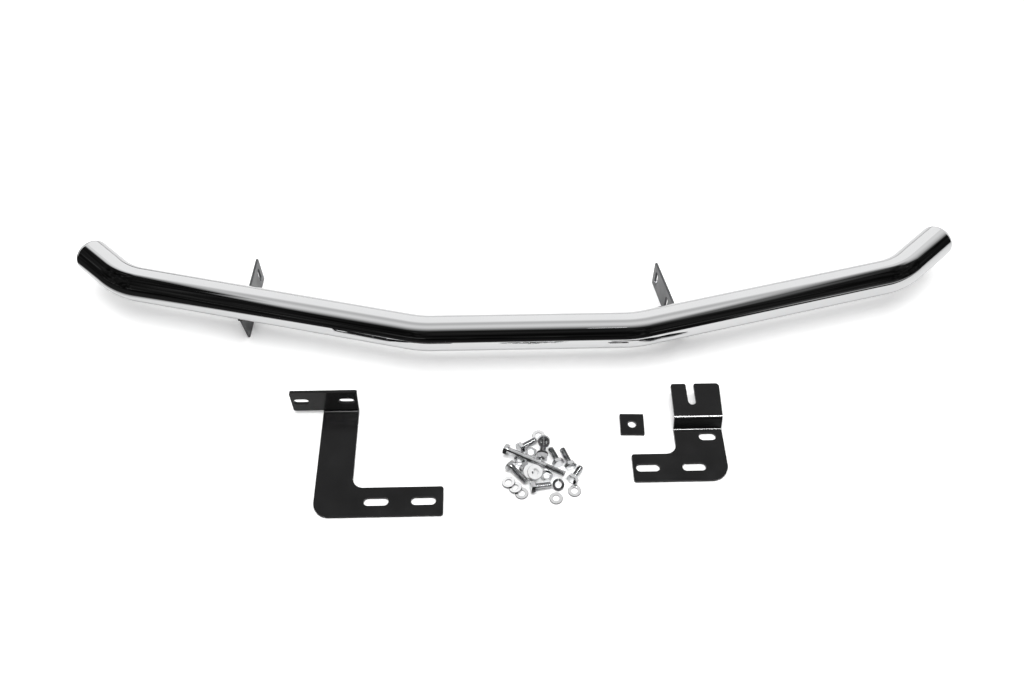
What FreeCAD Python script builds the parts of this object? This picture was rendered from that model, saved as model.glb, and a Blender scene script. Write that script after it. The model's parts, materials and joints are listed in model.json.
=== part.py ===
"""Front grille guard kit laid out on a floor: bar, two brackets, plate washer and loose M10 hardware.

Millimetres, +X along the bar, +Y towards the rear of the bar, +Z up. The layout is drawn around the
middle of the bar's centre section, then moved so that the origin is at the bottom centre of the box.
"""
import FreeCAD, Part
import math
import os

V = FreeCAD.Vector

# Bar
TUBE_R = 30.0
TUBE_WALL = 2.0
TUBE_HEIGHT = 80.0          # height of the tube's axis over the floor
CENTRE_HALF = 179.0         # half of the straight centre section, to the bend's vertex
WING_SWEEP = 13.5           # degrees back
INNER_BEND_R = 175.0
OUTER_BEND_R = 125.0
SIDES = {
    "left": {"sign": -1, "wing": 534.0, "end": 92.0, "end_sweep": 42.0},
    "right": {"sign": 1, "wing": 484.0, "end": 117.0, "end_sweep": 40.5},
}
CAP_DEPTH = 10.0
CAP_EDGE = 9.0

# Tabs under the bar: profile corners are (distance back from the centre section, height, corner radius)
TAB_T = 4.0
TAB_SLOT = (29.0, 11.0)     # length, width
TAB_SLOT_Z = 28.0
TAB_SLOT_INSET = 16.0       # rear slot's centre to the rear edge
TAB_SLOT_PITCH = 59.0
TAB_LEFT = {
    "x": -484.0, "turn": -2.5,
    "outline": [(60, 0, 2), (198, 0, 1.5), (198, 54, 1.5), (92, 57, 0), (86, 68, 0), (50, 62, 0)],
}
TAB_RIGHT = {
    "x": 237.0, "turn": 10.5,
    "outline": [(38, 0, 20), (174, 0, 1.5), (174, 53, 1.5), (40, 58, 0), (18, 58, 0), (8, 50, 1)],
}
WELD_R = 2.5

# Brackets
PLATE_T = 5.0
BEND_IN = 3.0
BEND_OUT = BEND_IN + PLATE_T
SLOT_PITCH = 74.0
SLOT_W = 14.0

LB_X = (-342.0, -283.5)     # strip
LB_LEG_END = -140.0
LB_Y = (-297.0, -247.0)     # leg
LB_FLANGE_X = -391.0
LB_FLANGE_Y = (-102.0, -97.0)
LB_FLANGE_Z = (7.0, 58.5)
LB_FLARE = 2.5              # the flange's top right corner sits this far to the right
LB_LEG_SLOT = (-244.7, -272.0, 39.0)
LB_FLANGE_SLOT = (-374.5, 33.0, 26.0)

RB_X = (161.0, 313.0)
RB_NECK = 234.5
RB_Y = (-245.0, -195.5)
RB_LOW_BEND = -150.0
RB_WEB_RUN = 10.0
RB_TOP_Z = 26.0
RB_BACK = -74.0
RB_BACK_SHIFT = (1.5, 4.0)   # the raised plate's rear corners, left and right, sit this far to the right
RB_LEG_SLOT = (185.0, -220.5, 38.0)
RB_SMALL_SLOT = (288.0, -164.5, 28.0)
RB_NOTCH = (267.5, -115.5, 13.0)   # centre, deepest point, width

PW_SIDE = 39.0
PW_HOLE_R = 7.0
PW_PLACE = (167.5, -138.0, -2.0)

# M10 hardware
BOLT_R = 4.9
ROOT_R = 4.3
THREAD_PITCH = 1.5
HEX_AF = 17.0
HEAD_H = 6.4
NUT_H = 8.4
NUT_BORE_R = 5.2
WASHER = (10.5, 5.3, 2.0)          # outer radius, hole radius, thickness
LARGE_WASHER = (12.0, 5.3, 2.5)
SPRING_WASHER = (9.4, 5.4, 2.4)
HEX_HALF = HEX_AF / 2.0
GAP = 0.1


# ---------------------------------------------------------------- outlines
def corner(prev, point, nxt, radius):
    """Start, middle and end of the arc that rounds one corner of an outline."""
    a = (prev - point).normalize()
    b = (nxt - point).normalize()
    half = a.getAngle(b) / 2.0
    reach = radius / math.tan(half)
    bisector = (a + b).normalize()
    middle = point + bisector * (radius / math.sin(half) - radius)
    return point + a * reach, middle, point + b * reach


def rounded_wire(points, radii, closed=True):
    """Straight runs joined by tangent arcs; a radius of 0 leaves a sharp corner."""
    count = len(points)
    joints = []
    for i in range(count):
        inside = closed or 0 < i < count - 1
        if radii[i] > 0 and inside:
            joints.append(corner(points[i - 1], points[i], points[(i + 1) % count], radii[i]))
        else:
            joints.append((points[i], None, points[i]))
    edges = []
    for i, (start, middle, end) in enumerate(joints):
        if middle is not None:
            edges.append(Part.Arc(start, middle, end).toShape())
        if closed or i < count - 1:
            following = joints[(i + 1) % count][0]
            if end.distanceToPoint(following) > 1e-6:
                edges.append(Part.LineSegment(end, following).toShape())
    return Part.Wire(edges)


def plan_prism(corners, low, high):
    """Outline of (x, y, radius) corners, pulled up from one height to another."""
    points = [V(x, y, low) for x, y, _ in corners]
    wire = rounded_wire(points, [r for _, _, r in corners])
    return Part.Face(wire).extrude(V(0, 0, high - low))


def side_prism(corners, x_low, x_high):
    """Outline of (y, z, radius) corners, pulled along X."""
    points = [V(x_low, y, z) for y, z, _ in corners]
    wire = rounded_wire(points, [r for _, _, r in corners])
    return Part.Face(wire).extrude(V(x_high - x_low, 0, 0))


def front_prism(corners, y_low, y_high):
    """Outline of (x, z, radius) corners, pulled along Y."""
    points = [V(x, y_low, z) for x, z, _ in corners]
    wire = rounded_wire(points, [r for _, _, r in corners])
    return Part.Face(wire).extrude(V(0, y_high - y_low, 0))


def slot_corners(a, b, length, width):
    """A slot that is round at both ends, long in the outline's first direction."""
    dx = length / 2.0
    dy = width / 2.0
    r = dy - 0.001
    return [(a - dx, b - dy, r), (a + dx, b - dy, r), (a + dx, b + dy, r), (a - dx, b + dy, r)]


# ---------------------------------------------------------------- bar
def side_vertices(side):
    """Axis points of one side: inner bend, outer bend and the tube's end."""
    sign = side["sign"]
    wing = math.radians(WING_SWEEP)
    end = math.radians(side["end_sweep"])
    inner = V(sign * CENTRE_HALF, 0, TUBE_HEIGHT)
    outer = inner + V(sign * math.cos(wing), math.sin(wing), 0) * side["wing"]
    tip = outer + V(sign * math.cos(end), math.sin(end), 0) * side["end"]
    return inner, outer, tip


def bar_path():
    left = side_vertices(SIDES["left"])
    right = side_vertices(SIDES["right"])
    points = list(reversed(left)) + list(right)
    radii = [0, OUTER_BEND_R, INNER_BEND_R, INNER_BEND_R, OUTER_BEND_R, 0]
    return rounded_wire(points, radii, closed=False)


def bar_tube(radius, bore):
    """Sweep of a round section, hollow where a bore is given."""
    path = bar_path()
    tip = side_vertices(SIDES["left"])[2]
    outer = side_vertices(SIDES["left"])[1]
    along = (outer - tip).normalize()
    section = Part.Wire(Part.makeCircle(radius, tip, along))
    solid = path.makePipe(Part.Face(section))
    if bore:
        core = Part.Wire(Part.makeCircle(bore, tip, along))
        solid = solid.cut(path.makePipe(Part.Face(core)))
    return solid


def rounded_disc(radius, depth, edge):
    """Disc from x = 0 to x = depth whose outer edge is rounded."""
    disc = Part.makeCylinder(radius, depth, V(0, 0, 0), V(1, 0, 0))
    rims = [rim for rim in disc.Edges if rim.BoundBox.XMin > depth / 2.0]
    return disc.makeFillet(edge, rims)


def end_cap(side):
    """Pressed cap that closes the tube's end: a shell with a rounded edge."""
    inner_depth = CAP_DEPTH - TUBE_WALL
    cap = rounded_disc(TUBE_R, CAP_DEPTH, CAP_EDGE)
    cap = cap.cut(rounded_disc(TUBE_R - TUBE_WALL, inner_depth, CAP_EDGE - TUBE_WALL))
    _, outer, tip = side_vertices(side)
    heading = math.degrees(math.atan2(tip.y - outer.y, tip.x - outer.x))
    cap.rotate(V(0, 0, 0), V(0, 0, 1), heading)
    cap.translate(tip)
    return cap


def tab(spec, tube):
    """Upright plate, cut to the tube's round underside, with two upright slots."""
    outline = spec["outline"]
    plate = side_prism(outline, spec["x"] - TAB_T / 2.0, spec["x"] + TAB_T / 2.0)
    rear = max(y for y, _, _ in outline)
    length, width = TAB_SLOT
    for step in range(2):
        y = rear - TAB_SLOT_INSET - step * TAB_SLOT_PITCH
        flat = slot_corners(TAB_SLOT_Z, y, length, width)
        upright = [(b, a, r) for a, b, r in flat]
        plate = plate.cut(side_prism(upright, spec["x"] - TAB_T, spec["x"] + TAB_T))
    plate.rotate(V(spec["x"], rear, 0), V(0, 0, 1), spec["turn"])
    return largest_solid(plate.cut(tube))


def largest_solid(shape):
    return max(shape.Solids, key=lambda solid: solid.Volume)


def tab_welds(plate, tube):
    """One bead along each long edge where the plate meets the tube."""
    beads = []
    for edge in plate.Edges:
        on_tube = abs(tube.distToShape(Part.Vertex(edge.valueAt(mid_parameter(edge))))[0]) < 0.01
        if on_tube and edge.Length > 3 * TAB_T:
            start = edge.valueAt(edge.FirstParameter)
            tangent = edge.tangentAt(edge.FirstParameter)
            section = Part.Face(Part.Wire(Part.makeCircle(WELD_R, start, tangent)))
            bead = Part.Wire([edge]).makePipe(section)
            beads.append(largest_solid(bead.cut(tube).cut(plate)))
    return Part.makeCompound(beads)


def mid_parameter(edge):
    return (edge.FirstParameter + edge.LastParameter) / 2.0


# ---------------------------------------------------------------- brackets
def left_bracket():
    x0, x1 = LB_X
    y0, y1 = LB_Y
    bend_y = LB_FLANGE_Y[1] - BEND_OUT
    outline = [
        (x0, y0, 26), (LB_LEG_END, y0, 4), (LB_LEG_END, y1, 4), (x1, y1, 17), (x1, bend_y, 0),
        (x0, bend_y, 0),
    ]
    plate = plan_prism(outline, 0, PLATE_T)
    x, y, length = LB_LEG_SLOT
    for step in range(2):
        cutter = plan_prism(slot_corners(x + step * SLOT_PITCH, y, length, SLOT_W), -1, PLATE_T + 1)
        plate = plate.cut(cutter)
    bend = Part.makeCylinder(BEND_OUT, x1 - x0, V(x0, bend_y, BEND_OUT), V(1, 0, 0))
    bend = bend.cut(Part.makeCylinder(BEND_IN, x1 - x0, V(x0, bend_y, BEND_OUT), V(1, 0, 0)))
    bend = bend.common(Part.makeBox(x1 - x0, BEND_OUT, BEND_OUT, V(x0, bend_y, 0)))
    z0, z1 = LB_FLANGE_Z
    flange_outline = [
        (LB_FLANGE_X, z0, 4), (x0, z0, 0), (x0, BEND_OUT, 0), (x1, BEND_OUT, 0), (x1 + LB_FLARE, z1, 3),
        (LB_FLANGE_X, z1, 4),
    ]
    flange = front_prism(flange_outline, *LB_FLANGE_Y)
    x, z, length = LB_FLANGE_SLOT
    for step in range(2):
        corners = slot_corners(x + step * SLOT_PITCH, z, length, SLOT_W)
        flange = flange.cut(front_prism(corners, LB_FLANGE_Y[0] - 1, LB_FLANGE_Y[1] + 1))
    return plate.fuse([bend, flange]).removeSplitter()


def right_bracket_profile():
    """Side view of the joggled plate: (y, z, radius) corners."""
    rise = RB_TOP_Z - PLATE_T
    slope = rise / RB_WEB_RUN
    web_angle = math.atan(slope)
    low_front = RB_LOW_BEND
    top_front = low_front + RB_WEB_RUN
    shift = PLATE_T / math.sin(web_angle)
    low_rear = low_front + shift - PLATE_T / slope
    top_rear = top_front + shift - PLATE_T / slope
    return [
        (RB_Y[0], 0, 0), (low_rear, 0, BEND_OUT), (top_rear, rise, BEND_IN), (RB_BACK, rise, 0),
        (RB_BACK, RB_TOP_Z, 0), (top_front, RB_TOP_Z, BEND_OUT), (low_front, PLATE_T, BEND_IN),
        (RB_Y[0], PLATE_T, 0),
    ]


def right_bracket():
    x0, x1 = RB_X
    y0, y1 = RB_Y
    shift_left, shift_right = RB_BACK_SHIFT
    notch_x, notch_y, notch_w = RB_NOTCH
    half = notch_w / 2.0
    outline = [
        (x0, y0, 4), (x1, y0, 28), (x1, RB_LOW_BEND, 0), (x1 + shift_right, RB_BACK, 6),
        (notch_x + half, RB_BACK, 3.5), (notch_x + half, notch_y, half - 0.001),
        (notch_x - half, notch_y, half - 0.001), (notch_x - half, RB_BACK, 3.5),
        (RB_NECK + shift_left, RB_BACK, 4), (RB_NECK, RB_LOW_BEND, 0), (RB_NECK, y1, 17), (x0, y1, 4),
    ]
    profile = side_prism(right_bracket_profile(), x0, x1 + shift_right)
    body = profile.common(plan_prism(outline, -1, RB_TOP_Z + 1))
    slots = [RB_SMALL_SLOT]
    x, y, length = RB_LEG_SLOT
    slots += [(x + step * SLOT_PITCH, y, length) for step in range(2)]
    for sx, sy, size in slots:
        body = body.cut(plan_prism(slot_corners(sx, sy, size, SLOT_W), -1, PLATE_T + 1))
    return largest_solid(body.removeSplitter())


def plate_washer():
    half = PW_SIDE / 2.0
    corners = [(-half, -half, 1), (half, -half, 1), (half, half, 1), (-half, half, 1)]
    plate = plan_prism(corners, 0, PLATE_T)
    plate = plate.cut(Part.makeCylinder(PW_HOLE_R, 3 * PLATE_T, V(0, 0, -PLATE_T)))
    x, y, turn = PW_PLACE
    plate.rotate(V(0, 0, 0), V(0, 0, 1), turn)
    plate.translate(V(x, y, 0))
    return plate


# ---------------------------------------------------------------- hardware, each along its own +Z
def revolved(points):
    """Solid of revolution about Z from (radius, height) points."""
    wire = Part.makePolygon([V(r, 0, z) for r, z in points + points[:1]])
    return Part.Face(wire).revolve(V(0, 0, 0), V(0, 0, 1), 360)


def hexagon(height, low):
    """Hexagonal bar with a flat facing +X, its corners turned off at both ends."""
    corner_r = HEX_HALF / math.cos(math.pi / 6)
    points = []
    for i in range(6):
        angle = math.radians(30 + 60 * i)
        points.append(V(corner_r * math.cos(angle), corner_r * math.sin(angle), low))
    return Part.Face(Part.makePolygon(points + points[:1])).extrude(V(0, 0, height))


def chamfer_blank(height, low, both_ends):
    """Round blank whose edges take the corners off a hexagon."""
    corner_r = HEX_HALF / math.cos(math.pi / 6) + 0.1
    face_r = HEX_HALF - 0.3
    drop = (corner_r - face_r) * math.tan(math.radians(30))
    top = low + height
    lower = [(face_r, low), (corner_r, low + drop)]
    upper = [(corner_r, top - drop), (face_r, top)] if both_ends else [(corner_r, top)]
    return revolved([(0, low)] + lower + upper + [(0, top)])


def threaded_shank(length):
    """Shank with one turned groove per thread pitch and a chamfered tip."""
    points = [(0, 0), (BOLT_R, 0), (BOLT_R, THREAD_PITCH)]
    turns = int((length - 2 * THREAD_PITCH) / THREAD_PITCH)
    for i in range(turns):
        z = THREAD_PITCH * (i + 1)
        points += [(ROOT_R, z + 0.6 * THREAD_PITCH), (BOLT_R, z + THREAD_PITCH)]
    points += [(BOLT_R, length - 1.0), (BOLT_R - 1.0, length), (0, length)]
    return revolved(points)


def plain_shank(length, thread_length):
    """Smooth shank whose last stretch is threaded."""
    plain = Part.makeCylinder(BOLT_R, length - thread_length)
    thread = threaded_shank(thread_length)
    thread.translate(V(0, 0, length - thread_length))
    return plain.fuse(thread).removeSplitter()


def bolt(length, thread_length=None):
    """Hex bolt: bearing face at z = 0, shank along +Z, head along -Z."""
    head = hexagon(HEAD_H, -HEAD_H).common(chamfer_blank(HEAD_H, -HEAD_H, False))
    shank = threaded_shank(length) if thread_length is None else plain_shank(length, thread_length)
    return head.fuse(shank).removeSplitter()


def nut():
    body = hexagon(NUT_H, 0).common(chamfer_blank(NUT_H, 0, True))
    bore = Part.makeCylinder(NUT_BORE_R, 3 * NUT_H, V(0, 0, -NUT_H))
    body = body.cut(bore)
    mouth_r = NUT_BORE_R + 0.6
    low_mouth = Part.makeCone(mouth_r, NUT_BORE_R, 0.6)
    high_mouth = Part.makeCone(NUT_BORE_R, mouth_r, 0.6, V(0, 0, NUT_H - 0.6))
    return body.cut(low_mouth).cut(high_mouth)


def washer(size):
    outer, inner, thickness = size
    edge = 0.5
    return revolved([
        (inner, 0), (outer - edge, 0), (outer, edge), (outer, thickness - edge),
        (outer - edge, thickness), (inner, thickness),
    ])


def spring_washer():
    """Split ring: a slanted saw cut opens it at one side."""
    outer, inner, thickness = SPRING_WASHER
    ring = revolved([(inner, 0), (outer, 0), (outer, thickness), (inner, thickness)])
    cut = Part.makeBox(2 * outer, 1.6, 3 * thickness, V(0, -0.8, -thickness))
    cut.rotate(V(outer, 0, thickness / 2.0), V(1, 0, 0), 25)
    return largest_solid(ring.cut(cut))


def aimed(shape, place, heading, dip, roll=0.0):
    """Turn a piece's own +Z to a compass heading, dipping below level, and move it to its place."""
    shape.rotate(V(0, 0, 0), V(0, 0, 1), roll)
    shape.rotate(V(0, 0, 0), V(0, 1, 0), 90 + dip)
    shape.rotate(V(0, 0, 0), V(0, 0, 1), heading)
    shape.translate(V(*place))
    return shape


def lying_bolt(x, y, heading, length):
    """Short bolt on the floor: it rests on a flat of its head and on its tip."""
    dip = math.atan((HEX_HALF - BOLT_R) / length)
    return aimed(bolt(length), (x, y, HEX_HALF * math.cos(dip)), heading, math.degrees(dip))


def flat_piece(shape, x, y, z=0.0, roll=0.0):
    shape.rotate(V(0, 0, 0), V(0, 0, 1), roll)
    shape.translate(V(x, y, z))
    return shape


def leaning(shape, place, lean, towards):
    """Flat piece raised on the side that faces the given compass direction."""
    shape.rotate(V(0, 0, 0), V(0, 1, 0), -lean)
    shape.rotate(V(0, 0, 0), V(0, 0, 1), towards)
    shape.translate(V(*place))
    return shape


# Short bolts on the floor: bearing face's centre, heading of the shank, length
FLOOR_BOLTS = {
    "hex_bolt_1": (-15.5, -180.0, 33.5, 28.0),
    "hex_bolt_3": (41.0, -208.0, 111.0, 28.0),
    "hex_bolt_4": (60.6, -213.2, 110.0, 32.0),
    "hex_bolt_5": (64.6, -237.8, 57.0, 25.0),
    "hex_bolt_6": (-32.6, -216.6, -48.5, 36.0),
    "hex_bolt_7": (2.6, -252.8, 10.0, 27.0),
    "hex_bolt_8": (-10.5, -219.0, -48.5, 25.0),
}
# Nuts flat on the floor: centre and turn
FLOOR_NUTS = {
    "nut_1": (-19.0, -202.6, 12.0),
    "nut_2": (-0.6, -189.6, 54.0),
    "nut_3": (23.0, -232.8, 32.0),
}
FLAT_WASHERS = {
    "washer_3": (-17.7, -260.2),
    "washer_4": (13.1, -154.9),
    "washer_5": (65.6, -257.6),
    "washer_6": (36.1, -270.0),
}
STACK_LEAN = 8.9            # each leaning washer rests on the next one's top
LONG_BOLT = {"bearing": (-37.3, -188.0), "heading": -27.8, "length": 100.0, "thread": 34.0}
SCREW_BOLT = {"bearing": (20.6, -171.3), "heading": -98.0, "length": 36.0, "height": 10.95, "dip": 1.5}
SCREW_WASHER_AT = 22.6      # distances from the bearing face
SCREW_NUT_AT = 25.2


def long_bolt():
    x, y = LONG_BOLT["bearing"]
    height = NUT_H + BOLT_R + GAP
    shape = bolt(LONG_BOLT["length"], LONG_BOLT["thread"])
    return aimed(shape, (x, y, height), LONG_BOLT["heading"], 0.0)


def on_screw(shape, distance, roll=0.0):
    """Piece on the screw bolt, at a distance from its bearing face."""
    x, y = SCREW_BOLT["bearing"]
    shape.translate(V(0, 0, distance))
    return aimed(shape, (x, y, SCREW_BOLT["height"]), SCREW_BOLT["heading"], SCREW_BOLT["dip"], roll)


def hardware():
    nodes = {"hex_bolt_long": long_bolt()}
    for name, (x, y, heading, length) in FLOOR_BOLTS.items():
        nodes[name] = lying_bolt(x, y, heading, length)
    for name, (x, y, turn) in FLOOR_NUTS.items():
        nodes[name] = flat_piece(nut(), x, y, 0.0, turn)
    for name, (x, y) in FLAT_WASHERS.items():
        nodes[name] = flat_piece(washer(WASHER), x, y)
    rise = WASHER[0] * math.sin(math.radians(STACK_LEAN)) + GAP
    nodes["washer_2"] = leaning(washer(WASHER), (-27.1, -250.7, rise), STACK_LEAN, -45.0)
    nodes["washer_1"] = leaning(washer(WASHER), (-37.7, -241.1, rise), STACK_LEAN, -42.0)
    nodes["large_washer_1"] = leaning(washer(LARGE_WASHER), (4.2, -233.2, 18.9), 20.0, 90.0)
    nodes["large_washer_2"] = leaning(washer(LARGE_WASHER), (-2.6, -230.4, 16.8), 20.0, 90.0)
    nodes["spring_washer_1"] = leaning(spring_washer(), (40.4, -248.5, 5.7), 35.0, 90.0)
    nodes["hex_bolt_2"] = on_screw(bolt(SCREW_BOLT["length"]), 0.0)
    nodes["spring_washer_3"] = leaning(spring_washer(), (20.2, -178.6, 18.8), 13.5, 90.0)
    nodes["spring_washer_2"] = on_screw(spring_washer(), SCREW_WASHER_AT)
    nodes["nut_4"] = on_screw(nut(), SCREW_NUT_AT, 30.0)
    return nodes


# ---------------------------------------------------------------- whole kit
def build():
    tube_blank = bar_tube(TUBE_R, 0)
    tabs = {"left": tab(TAB_LEFT, tube_blank), "right": tab(TAB_RIGHT, tube_blank)}
    nodes = {"bar_tube": bar_tube(TUBE_R, TUBE_R - TUBE_WALL)}
    for name, side in SIDES.items():
        nodes["end_cap_" + name] = end_cap(side)
        nodes["tab_" + name] = tabs[name]
        nodes["tab_weld_" + name] = tab_welds(tabs[name], tube_blank)
    nodes["left_bracket"] = left_bracket()
    nodes["right_bracket"] = right_bracket()
    nodes["plate_washer"] = plate_washer()
    nodes.update(hardware())
    return nodes


def origin_shift(nodes):
    """Move from the drawing's origin to the bottom centre of the whole kit's box."""
    box = FreeCAD.BoundBox()
    for shape in nodes.values():
        box.add(shape.optimalBoundingBox(False, False))
    return V(-box.Center.x, -box.Center.y, -box.ZMin)


def main():
    os.makedirs("parts", exist_ok=True)
    nodes = build()
    shift = origin_shift(nodes)
    print("shift", round(shift.x, 4), round(shift.y, 4), round(shift.z, 4))
    for name, shape in nodes.items():
        moved = shape.copy()
        moved.translate(shift)
        moved.exportStep("parts/" + name + ".step")


if __name__ == "__main__":
    main()
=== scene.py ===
"""Front grille guard kit: bar, brackets and loose hardware on a pale floor, with studio light."""
import json
import math

import bmesh
import bpy
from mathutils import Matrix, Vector


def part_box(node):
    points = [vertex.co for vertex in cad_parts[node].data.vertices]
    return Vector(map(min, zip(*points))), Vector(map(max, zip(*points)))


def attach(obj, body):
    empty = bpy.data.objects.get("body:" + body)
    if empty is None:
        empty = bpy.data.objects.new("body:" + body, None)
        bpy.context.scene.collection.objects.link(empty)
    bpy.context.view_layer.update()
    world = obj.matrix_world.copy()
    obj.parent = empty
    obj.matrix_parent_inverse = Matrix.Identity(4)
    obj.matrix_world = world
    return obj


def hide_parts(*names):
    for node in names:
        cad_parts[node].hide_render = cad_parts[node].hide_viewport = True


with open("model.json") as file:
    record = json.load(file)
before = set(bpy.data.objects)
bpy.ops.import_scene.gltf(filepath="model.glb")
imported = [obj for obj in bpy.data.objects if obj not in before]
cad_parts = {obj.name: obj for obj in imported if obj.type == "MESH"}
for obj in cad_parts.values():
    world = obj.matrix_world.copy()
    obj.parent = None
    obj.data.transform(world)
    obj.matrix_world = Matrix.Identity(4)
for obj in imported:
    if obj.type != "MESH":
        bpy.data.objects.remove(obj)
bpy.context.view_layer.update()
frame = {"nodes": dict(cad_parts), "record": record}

NODES = frame["nodes"]
MM = 0.001

# Bar: the same driving dimensions as the CAD bar, in metres
TUBE_R = 30 * MM
TUBE_WALL = 2 * MM
CAP_DEPTH = 10 * MM
CAP_EDGE = 9 * MM
CAP_STEPS = 14
CENTRE_HALF = 179 * MM
WING_SWEEP = math.radians(13.5)
INNER_BEND_R = 175 * MM
OUTER_BEND_R = 125 * MM
WINGS = {"left": (-1, 534 * MM, 92 * MM, math.radians(42.0)),
         "right": (1, 484 * MM, 117 * MM, math.radians(40.5))}
RING_POINTS = 160
ARC_STEP = math.radians(0.5)
SHARP_FROM = math.radians(35)

# Softened edges of the cut plates
SOFT_EDGE = 0.35 * MM
SOFTEN_FROM = math.radians(40)


# ---------------------------------------------------------------- node helpers
def new_material(name):
    material = bpy.data.materials.new(name)
    material.use_nodes = True
    tree = material.node_tree
    tree.nodes.clear()
    output = tree.nodes.new("ShaderNodeOutputMaterial")
    shader = tree.nodes.new("ShaderNodeBsdfPrincipled")
    tree.links.new(shader.outputs["BSDF"], output.inputs["Surface"])
    return material, tree, shader


def add(tree, kind, **settings):
    node = tree.nodes.new("ShaderNode" + kind)
    for key, value in settings.items():
        setattr(node, key, value)
    return node


def put(tree, value, socket):
    """Sets a socket from a number, a colour or another node's output."""
    if isinstance(value, bpy.types.NodeSocket):
        tree.links.new(value, socket)
    else:
        socket.default_value = value


def math_node(tree, operation, a, b=0.0):
    node = add(tree, "Math", operation=operation)
    put(tree, a, node.inputs[0])
    put(tree, b, node.inputs[1])
    return node.outputs[0]


def object_coordinates(tree, stretch=(1, 1, 1)):
    coordinates = add(tree, "TexCoord")
    mapping = add(tree, "Mapping")
    tree.links.new(coordinates.outputs["Object"], mapping.inputs["Vector"])
    mapping.inputs["Scale"].default_value = stretch
    return mapping.outputs["Vector"]


def noise(tree, scale, detail=3.0, stretch=(1, 1, 1)):
    node = add(tree, "TexNoise")
    tree.links.new(object_coordinates(tree, stretch), node.inputs["Vector"])
    node.inputs["Scale"].default_value = scale
    node.inputs["Detail"].default_value = detail
    return node.outputs["Fac"]


def spread(tree, value, low, high, from_low=0.3, from_high=0.7):
    node = add(tree, "MapRange", clamp=True)
    put(tree, value, node.inputs["Value"])
    node.inputs["From Min"].default_value = from_low
    node.inputs["From Max"].default_value = from_high
    node.inputs["To Min"].default_value = low
    node.inputs["To Max"].default_value = high
    return node.outputs["Result"]


def colours(tree, value, dark, light):
    node = add(tree, "Mix", data_type="RGBA")
    put(tree, value, node.inputs["Factor"])
    node.inputs["A"].default_value = (*dark, 1)
    node.inputs["B"].default_value = (*light, 1)
    return node.outputs["Result"]


def soft_step(tree, value, start, end):
    """0 up to start, 1 from end on, and a soft step between."""
    node = add(tree, "MapRange", clamp=True, interpolation_type="SMOOTHSTEP")
    put(tree, value, node.inputs["Value"])
    node.inputs["From Min"].default_value = start
    node.inputs["From Max"].default_value = end
    return node.outputs["Result"]


def bump(tree, shader, height, distance, strength=1.0):
    node = add(tree, "Bump")
    node.inputs["Strength"].default_value = strength
    node.inputs["Distance"].default_value = distance
    tree.links.new(height, node.inputs["Height"])
    tree.links.new(node.outputs["Normal"], shader.inputs["Normal"])


# ---------------------------------------------------------------- materials
def polished_steel():
    """Mirror-polished tube: faint smudges and lengthwise polishing lines."""
    material, tree, shader = new_material("polished_steel_look")
    shader.inputs["Metallic"].default_value = 1.0
    smudge = noise(tree, 9.0, 4.0)
    lines = noise(tree, 40.0, 5.0, (1, 12, 12))
    tone = colours(tree, smudge, (0.67, 0.675, 0.68), (0.71, 0.712, 0.715))
    put(tree, tone, shader.inputs["Base Color"])
    put(tree, spread(tree, smudge, 0.02, 0.055), shader.inputs["Roughness"])
    bump(tree, shader, lines, 0.00001, 0.25)
    return material


def satin_steel():
    """Brushed plate: fine upright grain with duller patches."""
    material, tree, shader = new_material("satin_steel_look")
    shader.inputs["Metallic"].default_value = 1.0
    grain = noise(tree, 90.0, 6.0, (6, 6, 0.4))
    patch = noise(tree, 30.0, 3.0)
    tone = colours(tree, grain, (0.045, 0.046, 0.048), (0.11, 0.112, 0.115))
    put(tree, tone, shader.inputs["Base Color"])
    put(tree, spread(tree, patch, 0.28, 0.42), shader.inputs["Roughness"])
    bump(tree, shader, grain, 0.00004, 0.5)
    return material


def weld_steel():
    """Weld bead: dull and uneven, with straw-coloured heat tint."""
    material, tree, shader = new_material("weld_steel_look")
    shader.inputs["Metallic"].default_value = 1.0
    tint = noise(tree, 60.0, 3.0)
    grit = noise(tree, 700.0, 4.0)
    put(tree, colours(tree, tint, (0.24, 0.22, 0.20), (0.42, 0.41, 0.40)), shader.inputs["Base Color"])
    put(tree, spread(tree, tint, 0.3, 0.5), shader.inputs["Roughness"])
    bump(tree, shader, grit, 0.00008, 0.6)
    return material


def black_paint():
    """Black powder coat: orange-peel skin, faint dust and rubbed patches."""
    material, tree, shader = new_material("black_paint_look")
    dust = noise(tree, 25.0, 5.0)
    peel = noise(tree, 420.0, 2.0)
    tone = colours(tree, dust, (0.003, 0.003, 0.0032), (0.006, 0.006, 0.0063))
    put(tree, tone, shader.inputs["Base Color"])
    put(tree, spread(tree, dust, 0.16, 0.26), shader.inputs["Roughness"])
    shader.inputs["Specular IOR Level"].default_value = 0.18
    bump(tree, shader, peel, 0.00003, 0.35)
    return material


def zinc_steel(name, dark, light):
    """Zinc plate: slightly cloudy, with small pits."""
    material, tree, shader = new_material(name)
    shader.inputs["Metallic"].default_value = 1.0
    cloud = noise(tree, 160.0, 4.0)
    pits = noise(tree, 1500.0, 2.0)
    put(tree, colours(tree, cloud, dark, light), shader.inputs["Base Color"])
    put(tree, spread(tree, cloud, 0.06, 0.14), shader.inputs["Roughness"])
    bump(tree, shader, pits, 0.00002, 0.3)
    return material


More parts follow.
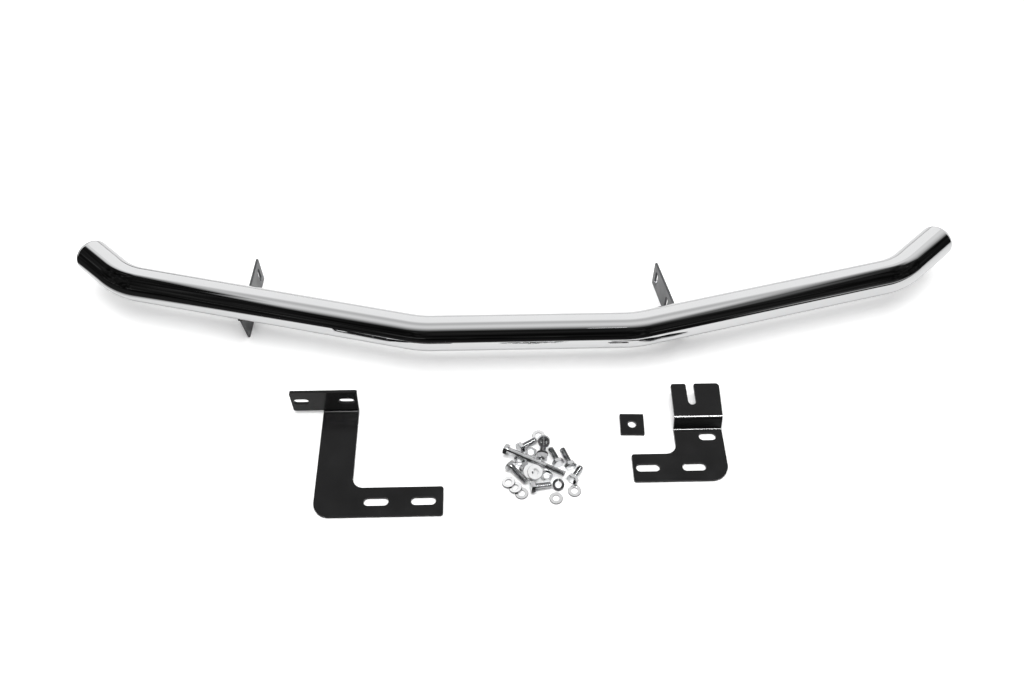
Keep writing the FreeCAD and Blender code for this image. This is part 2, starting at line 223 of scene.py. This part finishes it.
def washer_look(name, metallic):
    """Zinc-plated washer: bright flat faces, and painted shade on the punched edges, picked by which way
    the surface faces.
    """
    material, tree, shader = new_material(name)
    shader.inputs["Metallic"].default_value = metallic
    split = add(tree, "SeparateXYZ")
    tree.links.new(add(tree, "TexCoord").outputs["Normal"], split.inputs[0])
    face_vs_painted_edge_shade = spread(tree, math_node(tree, "ABSOLUTE", split.outputs[2]), 0.0, 1.0, 0.78, 0.92)
    cloud = noise(tree, 160.0, 4.0)
    face = colours(tree, cloud, (0.74, 0.745, 0.75), (0.90, 0.902, 0.905))
    # Painted shade: faces that do not point up or down get a dark colour, drawing the washers' dark
    # outline into the colour.
    blend = add(tree, "Mix", data_type="RGBA")
    put(tree, face_vs_painted_edge_shade, blend.inputs["Factor"])
    blend.inputs["A"].default_value = (0.20, 0.20, 0.205, 1)
    put(tree, face, blend.inputs["B"])
    put(tree, blend.outputs["Result"], shader.inputs["Base Color"])
    put(tree, spread(tree, cloud, 0.08, 0.18), shader.inputs["Roughness"])
    bump(tree, shader, noise(tree, 1500.0, 2.0), 0.00002, 0.3)
    return material


def dark_steel():
    """Blackened spring steel with an oily sheen."""
    material, tree, shader = new_material("dark_steel_look")
    shader.inputs["Metallic"].default_value = 1.0
    cloud = noise(tree, 220.0, 4.0)
    put(tree, colours(tree, cloud, (0.02, 0.02, 0.021), (0.06, 0.06, 0.062)), shader.inputs["Base Color"])
    put(tree, spread(tree, cloud, 0.12, 0.22), shader.inputs["Roughness"])
    bump(tree, shader, cloud, 0.00003, 0.3)
    return material


LOOKS = {
    "polished_steel": polished_steel(),
    "satin_steel": satin_steel(),
    "weld_steel": weld_steel(),
    "black_paint": black_paint(),
    "zinc_steel": zinc_steel("zinc_steel_look", (0.40, 0.405, 0.41), (0.62, 0.625, 0.63)),
    "dark_steel": dark_steel(),
}
WASHER_LOOKS = {"washer": washer_look("washer_look", 1.0),
                "large_washer": washer_look("frosted_washer_look", 0.35)}


def dress(piece, slot):
    piece.data.materials.clear()
    piece.data.materials.append(LOOKS[slot])


def dress_cad_nodes():
    """Every CAD node gets the look of its material slot; plates get a softened edge."""
    for part in frame["record"]["subparts"]:
        piece = NODES[part["node"]]
        dress(piece, part["material_slot"])
        for start, look in WASHER_LOOKS.items():
            if part["node"].startswith(start):
                piece.data.materials[0] = look
        if part["material_slot"] in ("black_paint", "satin_steel"):
            soften = piece.modifiers.new("soft_edge", "BEVEL")
            soften.width = SOFT_EDGE
            soften.segments = 2
            soften.limit_method = "ANGLE"
            soften.angle_limit = SOFTEN_FROM
            soften.harden_normals = True


# ---------------------------------------------------------------- bar
def turned(heading):
    return Vector((math.cos(heading), math.sin(heading), 0))


def bar_axis():
    """Plan of the tube's axis from the left end to the right: (point, heading) pairs, bends as arcs."""
    corners = []
    for name in ("left", "right"):
        sign, wing, end, end_sweep = WINGS[name]
        inner = Vector((sign * CENTRE_HALF, 0, 0))
        outer = inner + Vector((sign * math.cos(WING_SWEEP), math.sin(WING_SWEEP), 0)) * wing
        tip = outer + Vector((sign * math.cos(end_sweep), math.sin(end_sweep), 0)) * end
        corners.append([inner, outer, tip])
    points = list(reversed(corners[0])) + corners[1]
    axis = [(points[0], heading_of(points[1] - points[0]))]
    radii = (OUTER_BEND_R, INNER_BEND_R, INNER_BEND_R, OUTER_BEND_R)
    for before, here, after, radius in zip(points, points[1:], points[2:], radii):
        axis += bend(heading_of(here - before), heading_of(after - here), here, radius)
    axis.append((points[-1], heading_of(points[-1] - points[-2])))
    return axis


def heading_of(direction):
    return math.atan2(direction.y, direction.x)


def bend(heading_in, heading_out, corner, radius):
    """Arc of the given radius that is tangent to both runs at a corner."""
    turn = heading_out - heading_in
    reach = radius * math.tan(abs(turn) / 2)
    side = math.copysign(1.0, turn)
    start = corner - turned(heading_in) * reach
    centre = start + turned(heading_in + side * math.pi / 2) * radius
    steps = max(2, round(abs(turn) / ARC_STEP))
    arc = []
    for i in range(steps + 1):
        heading = heading_in + turn * i / steps
        arc.append((centre - turned(heading + side * math.pi / 2) * radius, heading))
    return arc


def ring(mesh, centre, heading, radius):
    across = turned(heading + math.pi / 2)
    verts = []
    for i in range(RING_POINTS):
        angle = 2 * math.pi * i / RING_POINTS
        verts.append(mesh.verts.new(centre + across * radius * math.cos(angle)
                                    + Vector((0, 0, 1)) * radius * math.sin(angle)))
    return verts


def bridge(mesh, a, b):
    for i in range(RING_POINTS):
        k = (i + 1) % RING_POINTS
        mesh.faces.new((a[i], a[k], b[k], b[i]))


def finish_mesh(mesh, name):
    bmesh.ops.recalc_face_normals(mesh, faces=mesh.faces)
    data = bpy.data.meshes.new(name)
    mesh.to_mesh(data)
    mesh.free()
    data.set_sharp_from_angle(angle=SHARP_FROM)
    piece = bpy.data.objects.new(name, data)
    bpy.context.scene.collection.objects.link(piece)
    return piece


def polished_tube():
    """The bent tube at mirror quality: outer skin, bore and square-cut ends."""
    mesh = bmesh.new()
    axis = bar_axis()
    outer = [ring(mesh, point, heading, TUBE_R) for point, heading in axis]
    inner = [ring(mesh, point, heading, TUBE_R - TUBE_WALL) for point, heading in axis]
    for rings in (outer, inner):
        for a, b in zip(rings, rings[1:]):
            bridge(mesh, a, b)
    bridge(mesh, outer[0], inner[0])
    bridge(mesh, outer[-1], inner[-1])
    polished_piece(mesh, "polished_tube", "bar_tube")


def rounded_profile(depth, radius, edge):
    """(distance along the axis, radius) points of a disc whose outer edge is rounded."""
    points = [(0.0, radius)]
    for i in range(CAP_STEPS + 1):
        angle = math.pi / 2 * i / CAP_STEPS
        points.append((depth - edge + edge * math.sin(angle), radius - edge + edge * math.cos(angle)))
    return points


def polished_cap(side, tip, heading):
    """Pressed end cap: a smooth round shell with a rounded edge, open towards the tube."""
    mesh = bmesh.new()
    outward = turned(heading)
    skins = [rounded_profile(CAP_DEPTH, TUBE_R, CAP_EDGE),
             rounded_profile(CAP_DEPTH - TUBE_WALL, TUBE_R - TUBE_WALL, CAP_EDGE - TUBE_WALL)]
    mouths = []
    for profile in skins:
        rings = [ring(mesh, tip + outward * along, heading, radius) for along, radius in profile]
        for a, b in zip(rings, rings[1:]):
            bridge(mesh, a, b)
        middle = mesh.verts.new(tip + outward * profile[-1][0])
        for a, b in zip(rings[-1], rings[-1][1:] + rings[-1][:1]):
            mesh.faces.new((a, b, middle))
        mouths.append(rings[0])
    bridge(mesh, *mouths)
    polished_piece(mesh, "polished_cap_" + side, "end_cap_" + side)


def polished_piece(mesh, name, node):
    """Moves a piece of the bar to its place in the frame and puts it in its CAD node's stead."""
    low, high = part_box("bar_tube")
    shift = bar_centre() + Vector((0, 0, (low.z + high.z) / 2))
    for vert in mesh.verts:
        vert.co += shift
    piece = finish_mesh(mesh, name)
    dress(piece, "polished_steel")
    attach(piece, "bar")
    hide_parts(node)


# ---------------------------------------------------------------- studio
FLOOR_HALF = 12.0
FLOOR_MIDDLE = (0, 0, 0)
SHEET_FRONT = 0.33           # the front edge of the sheet that mirrors see bright, from the bar's centre section; in front of it the floor's colour is painted dark for mirror rays
SHEET_FRONT_BLUR = (0.07, 0.05)
SHEET_LEFT = 0.13            # and its left edge, from the bar's left end
SHEET_LEFT_BLUR = 0.03
SHEET_CORNER = -0.42         # left of this the bright sheet's front edge runs back,
SHEET_CORNER_SLOPE = 0.8     # this steeply
SHEET_MIRRORED = 0.90        # painted brightness of the floor's colour in mirrors, on the sheet
ROOM_MIRRORED = 0.015        # and painted dark on the floor beyond it, a painted reflection of the dim room
FRONT_SLANT = -0.12
FLOOR_GLOW = 0.30
FAR_GLOW = 0.95
GLOW_DISTANCES = (1.0, 4.0)
CONTACT_REACH = 0.025        # the glow fades this close under and beside a piece, a painted contact shadow
CONTACT_SHADE = 0.0
CONTACT_RANGE = (0.25, 0.95)
SOFT_BOX = 1.1               # brightness of the soft box overhead
CEILING = 0.8
REAR_WALL = 1.4
SOFT_BOX_FROM = (58, 90)     # where each one sets in, in degrees up from the front horizon
CEILING_FROM = (92, 108)
REAR_WALL_FROM = (112, 128)
BOX_LEFT = (-0.45, -0.40)    # the soft box's left edge, sideways, at the two angles below
BOX_LEFT_AT = (82, 90)
BOX_LEFT_BLUR = (-0.025, 0.03)
BOX_RIGHT_BLUR = (0.36, 0.45)
WALL_EDGE = (125.0, 118.5)   # the wide rear wall's lower edge, in degrees, at the two sideways places
WALL_EDGE_AT = (-0.55, -0.35)
WALL_DROP = 8.0              # it starts this much lower on the right
WALL_DROP_AT = (0.47, 0.56)
WALL_BLUR = (-3.0, 5.0)
WALL_SHARE = 0.8
SIDE_PANEL = 0.16            # weak panel on the right, from and to these angles and places
SIDE_PANEL_FROM = (60, 68)
SIDE_PANEL_FADE = (88, 100)
SIDE_PANEL_TOP = 0.3
SIDE_PANEL_START = (0.0, 0.2)
SIDE_PANEL_END = (0.47, 0.52)
DIM_ROOM = (0.003, 0.020)    # the unlit side of the room, with faint streaks
STREAKS = 0.055
RAIL = 0.13                  # thin broken bright rail
RAIL_ANGLE = 16.0
RAIL_WIDTH = (0.5, 1.6)
BOARD = 0.5                  # pale board low on the right
BOARD_START = (0.57, 0.64)
BOARD_TOP = (2.0, 12.0)
BOARD_BOTTOM = (-20.0, -10.0)
BACKDROP = 1.4               # what the camera sees behind everything
CAMERA_HEIGHT = 1.342
CAMERA_BACK = 0.9865         # from the bar's centre section
CAMERA_LEFT = 0.0483
CAMERA_PITCH = math.radians(52.5)
CAMERA_YAW = math.radians(1.231)
CAMERA_LENS = 33.75


def bar_centre():
    """Point under the middle of the bar's centre section."""
    low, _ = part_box("bar_tube")
    own_x = min((point + turned(heading + math.pi / 2) * side * TUBE_R).x
                for point, heading in bar_axis() for side in (-1, 1))
    return Vector((low.x - own_x, low.y + TUBE_R, 0))


def floor():
    mesh = bmesh.new()
    bmesh.ops.create_grid(mesh, x_segments=8, y_segments=8, size=FLOOR_HALF)
    piece = finish_mesh(mesh, "floor")
    material, tree, shader = new_material("floor_look")
    mottle = noise(tree, 3.0, 3.0)
    shader.inputs["Roughness"].default_value = 0.9
    shader.inputs["Specular IOR Level"].default_value = 0.0
    split = add(tree, "SeparateXYZ")
    tree.links.new(object_coordinates(tree), split.inputs[0])
    x, y, _ = split.outputs
    centre = bar_centre()
    low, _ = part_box("bar_tube")
    corner = math_node(tree, "MAXIMUM", math_node(tree, "SUBTRACT", SHEET_CORNER, x), 0.0)
    corner = math_node(tree, "MULTIPLY", corner, SHEET_CORNER_SLOPE)
    front = math_node(tree, "SUBTRACT", y, math_node(tree, "MULTIPLY", x, FRONT_SLANT))
    front = math_node(tree, "SUBTRACT", front, corner)
    edge = centre.y - SHEET_FRONT
    before, beyond = SHEET_FRONT_BLUR
    painted_sheet_mask = spread(tree, front, 0.0, 1.0, edge - before, edge + beyond)
    edge = low.x - SHEET_LEFT
    left = spread(tree, x, 0.0, 1.0, edge - SHEET_LEFT_BLUR, edge + SHEET_LEFT_BLUR)
    painted_sheet_mask = math_node(tree, "MULTIPLY", painted_sheet_mask, left)
    # Painted reflection: for mirror rays only, the floor's colour is painted bright on the sheet and dark
    # beyond it, giving the chrome its dark band.
    painted_mirror_level = spread(tree, painted_sheet_mask, ROOM_MIRRORED, SHEET_MIRRORED, 0.0, 1.0)
    glossy = add(tree, "LightPath").outputs["Is Glossy Ray"]
    level = add(tree, "Mix", data_type="FLOAT")
    put(tree, glossy, level.inputs["Factor"])
    level.inputs["A"].default_value = 1.0
    put(tree, painted_mirror_level, level.inputs["B"])
    pale = colours(tree, mottle, (0.90, 0.90, 0.90), (0.92, 0.92, 0.92))
    tone = add(tree, "VectorMath", operation="SCALE")
    put(tree, pale, tone.inputs[0])
    put(tree, level.outputs["Result"], tone.inputs["Scale"])
    put(tree, tone.outputs[0], shader.inputs["Base Color"])
    put(tree, pale, shader.inputs["Emission Color"])
    watched = add(tree, "LightPath").outputs["Is Camera Ray"]
    away = add(tree, "VectorMath", operation="LENGTH")
    tree.links.new(object_coordinates(tree), away.inputs[0])
    glow = spread(tree, away.outputs["Value"], FLOOR_GLOW, FAR_GLOW, *GLOW_DISTANCES)
    # Painted shadow: the floor's camera-only glow is cut where pieces are close, darkening the floor
    # under and beside them.
    contact = add(tree, "AmbientOcclusion", samples=16)
    contact.inputs["Distance"].default_value = CONTACT_REACH
    open_sky = spread(tree, contact.outputs["AO"], CONTACT_SHADE, 1.0, *CONTACT_RANGE)
    glow = math_node(tree, "MULTIPLY", glow, open_sky)
    put(tree, math_node(tree, "MULTIPLY", watched, glow), shader.inputs["Emission Strength"])
    piece.data.materials.append(material)


def room_noise(tree, direction, stretch, offset):
    """Noise over the directions of the room."""
    node = add(tree, "TexNoise")
    mapping = add(tree, "Mapping")
    mapping.inputs["Scale"].default_value = stretch
    mapping.inputs["Location"].default_value = (offset, offset, offset)
    tree.links.new(direction, mapping.inputs["Vector"])
    tree.links.new(mapping.outputs["Vector"], node.inputs["Vector"])
    node.inputs["Scale"].default_value = 1.0
    node.inputs["Detail"].default_value = 2.0
    return node.outputs["Fac"]


def overhead(tree, degrees):
    """Brightness from the front horizon over the top: soft box, ceiling, rear wall."""
    arch = math_node(tree, "MULTIPLY", soft_step(tree, degrees, *SOFT_BOX_FROM), SOFT_BOX)
    for span, change in ((CEILING_FROM, CEILING - SOFT_BOX), (REAR_WALL_FROM, REAR_WALL - CEILING)):
        behind = math_node(tree, "MULTIPLY", soft_step(tree, degrees, *span), change)
        arch = math_node(tree, "ADD", arch, behind)
    return arch


def overhead_outline(tree, degrees, x):
    """Where the overhead light is seen: within the soft box's sides, or on the wide rear wall."""
    left_edge = spread(tree, degrees, *BOX_LEFT, *BOX_LEFT_AT)
    inside_left = spread(tree, math_node(tree, "SUBTRACT", x, left_edge), 0.0, 1.0, *BOX_LEFT_BLUR)
    inside_right = spread(tree, x, 1.0, 0.0, *BOX_RIGHT_BLUR)
    box = math_node(tree, "MULTIPLY", inside_left, inside_right)
    wall_from = math_node(tree, "SUBTRACT", spread(tree, x, *WALL_EDGE, *WALL_EDGE_AT),
                          spread(tree, x, 0.0, WALL_DROP, *WALL_DROP_AT))
    above = math_node(tree, "SUBTRACT", degrees, wall_from)
    return math_node(tree, "MAXIMUM", box, spread(tree, above, 0.0, WALL_SHARE, *WALL_BLUR))


def side_panel(tree, degrees, x):
    panel = math_node(tree, "MULTIPLY", spread(tree, degrees, 0.0, SIDE_PANEL, *SIDE_PANEL_FROM),
                      spread(tree, x, 1.0, 0.0, *SIDE_PANEL_END))
    panel = math_node(tree, "MULTIPLY", panel, spread(tree, x, 0.0, 1.0, *SIDE_PANEL_START))
    return math_node(tree, "MULTIPLY", panel,
                     spread(tree, degrees, 1.0, SIDE_PANEL_TOP, *SIDE_PANEL_FADE))


def dim_room(tree, direction):
    murk = room_noise(tree, direction, (2.0, 5.0, 7.0), 1.0)
    streaks = room_noise(tree, direction, (2.2, 20.0, 26.0), 1.7)
    return math_node(tree, "ADD", spread(tree, murk, *DIM_ROOM, 0.40, 0.70),
                     spread(tree, streaks, 0.0, STREAKS, 0.58, 0.74))


def rail(tree, direction, degrees):
    away = math_node(tree, "ABSOLUTE", math_node(tree, "SUBTRACT", degrees, RAIL_ANGLE))
    breaks = room_noise(tree, direction, (7.0, 0.4, 0.4), 4.2)
    return math_node(tree, "MULTIPLY", spread(tree, away, RAIL, 0.0, *RAIL_WIDTH),
                     spread(tree, breaks, 0.0, 1.0, 0.48, 0.56))


def board(tree, degrees, x):
    pale = math_node(tree, "MULTIPLY", spread(tree, x, 0.0, BOARD, *BOARD_START),
                     spread(tree, degrees, 1.0, 0.0, *BOARD_TOP))
    return math_node(tree, "MULTIPLY", pale, spread(tree, degrees, 0.0, 1.0, *BOARD_BOTTOM))


def room_light():
    """World light by direction: soft box overhead, pale rear wall, dim room in front."""
    world = bpy.data.worlds.new("room")
    bpy.context.scene.world = world
    world.use_nodes = True
    tree = world.node_tree
    tree.nodes.clear()
    output = add(tree, "OutputWorld")
    background = add(tree, "Background")
    tree.links.new(background.outputs[0], output.inputs["Surface"])
    direction = add(tree, "TexCoord").outputs["Generated"]
    split = add(tree, "SeparateXYZ")
    tree.links.new(direction, split.inputs[0])
    x, y, z = split.outputs
    rise = math_node(tree, "ARCTAN2", z, math_node(tree, "MULTIPLY", y, -1.0))
    degrees = math_node(tree, "MULTIPLY", rise, 180 / math.pi)
    strength = math_node(tree, "MULTIPLY", overhead(tree, degrees), overhead_outline(tree, degrees, x))
    for layer in (side_panel(tree, degrees, x), dim_room(tree, direction),
                  rail(tree, direction, degrees), board(tree, degrees, x)):
        strength = math_node(tree, "MAXIMUM", strength, layer)
    watched = add(tree, "LightPath").outputs["Is Camera Ray"]
    backdrop = math_node(tree, "MULTIPLY", watched, BACKDROP)
    put(tree, math_node(tree, "MAXIMUM", strength, backdrop), background.inputs["Strength"])


def area_light(name, place, aim, size, watts, glossy=False):
    data = bpy.data.lights.new(name, "AREA")
    data.shape = "RECTANGLE"
    data.size, data.size_y = size
    data.energy = watts
    lamp = bpy.data.objects.new(name, data)
    lamp.location = place
    lamp.rotation_euler = (Vector(aim) - Vector(place)).to_track_quat("-Z", "Y").to_euler()
    lamp.visible_glossy = glossy
    lamp.visible_diffuse = not glossy
    lamp.visible_camera = False
    bpy.context.scene.collection.objects.link(lamp)
    return lamp


def strip_light():
    """Long lamp that draws a thin highlight along the plates' bends and on bolts and nuts."""
    lamp = area_light("strip", (0.3, -1.15, 2.7), FLOOR_MIDDLE, (1.6, 0.30), 950, glossy=True)
    lit = bpy.data.collections.new("strip_lit")
    for name, piece in NODES.items():
        if not name.startswith(("bar_tube", "end_cap", "tab_weld", "washer", "large_washer")):
            lit.objects.link(piece)
    lamp.light_linking.receiver_collection = lit


def camera():
    data = bpy.data.cameras.new("camera")
    data.lens = CAMERA_LENS
    data.sensor_width = 36
    data.clip_end = 60
    piece = bpy.data.objects.new("camera", data)
    centre = bar_centre()
    piece.location = centre + Vector((-CAMERA_LEFT, -CAMERA_BACK, CAMERA_HEIGHT))
    piece.rotation_euler = (math.pi / 2 - CAMERA_PITCH, 0, -CAMERA_YAW)
    bpy.context.scene.collection.objects.link(piece)
    bpy.context.scene.camera = piece


dress_cad_nodes()
polished_tube()
polished_cap("left", bar_axis()[0][0], bar_axis()[0][1] + math.pi)
polished_cap("right", *bar_axis()[-1])
floor()
room_light()
area_light("top_fill", (0, -0.2, 2.6), FLOOR_MIDDLE, (3.0, 2.0), 84)
area_light("spark", (0.50, -1.1, 2.8), FLOOR_MIDDLE, (0.24, 0.06), 0.07, glossy=True)
strip_light()
camera()
bpy.context.scene.view_settings.view_transform = "Standard"
